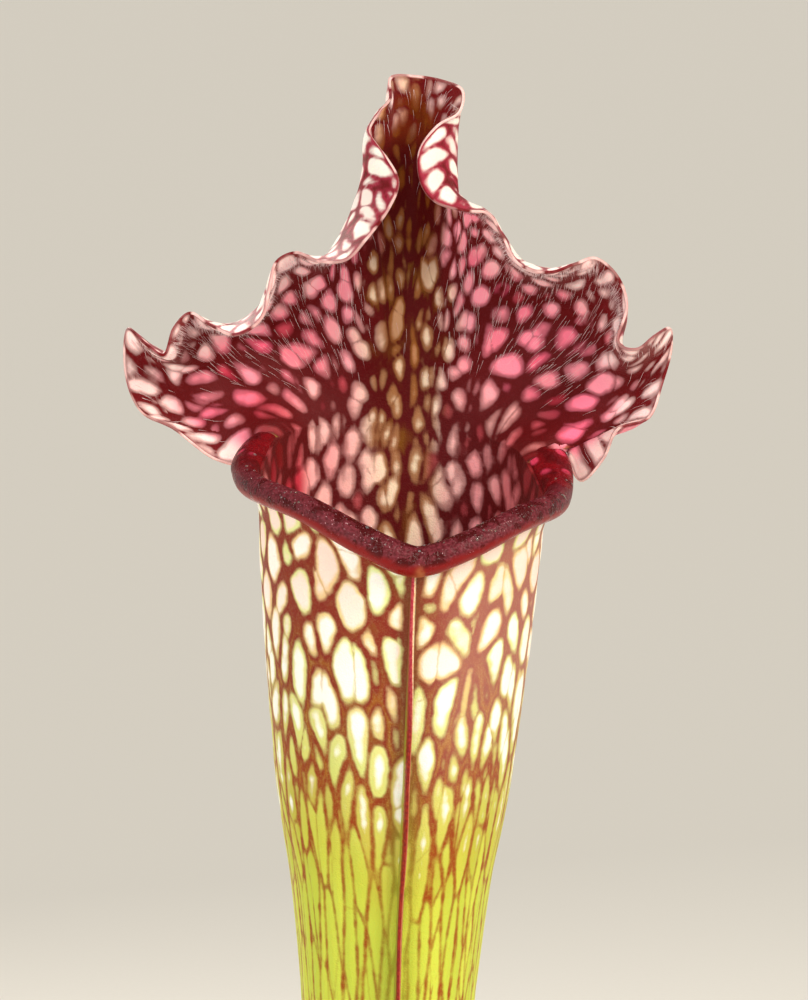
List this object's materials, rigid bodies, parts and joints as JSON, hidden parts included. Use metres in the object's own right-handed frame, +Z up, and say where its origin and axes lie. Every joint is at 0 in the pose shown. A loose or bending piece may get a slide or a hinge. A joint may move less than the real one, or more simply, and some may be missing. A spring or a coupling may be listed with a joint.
{
  "type": "potted white pitcher plant",
  "caption": "Trumpet-shaped pitcher leaf with a rolled lip and a frilled, net-veined hood, growing from a rhizome in a plain round pot of peat mix.",
  "frame": {"origin": "middle of the pot's foot, on the surface that it stands on", "axes": "+Z up the leaf; -Y towards the side that the leaf's mouth looks to; +X to that viewer's right"},
  "size_m": [0.12, 0.12, 0.3674],
  "materials": {
    "pot": "moulded charcoal plastic, finely grained, slightly dusty",
    "peat": "damp dark brown peat mix, crumbly, rough",
    "rhizome": "brown dry bracts and scars on a woody stem",
    "pitcher": "thin living leaf, cream and pink windows between maroon veins over yellow-green, softly glossy and translucent",
    "lip": "fleshy dark maroon roll, wet and glossy",
    "hair": "fine pale translucent hairs",
    "nectar": "clear sticky drops",
    "moss": "short soft green moss",
    "perlite": "matte white mineral grains"
  },
  "bodies": {
    "root": {"pot": "pot", "soil": "peat", "rhizome": "rhizome", "pitcher": "pitcher"}
  },
  "joints": []
}
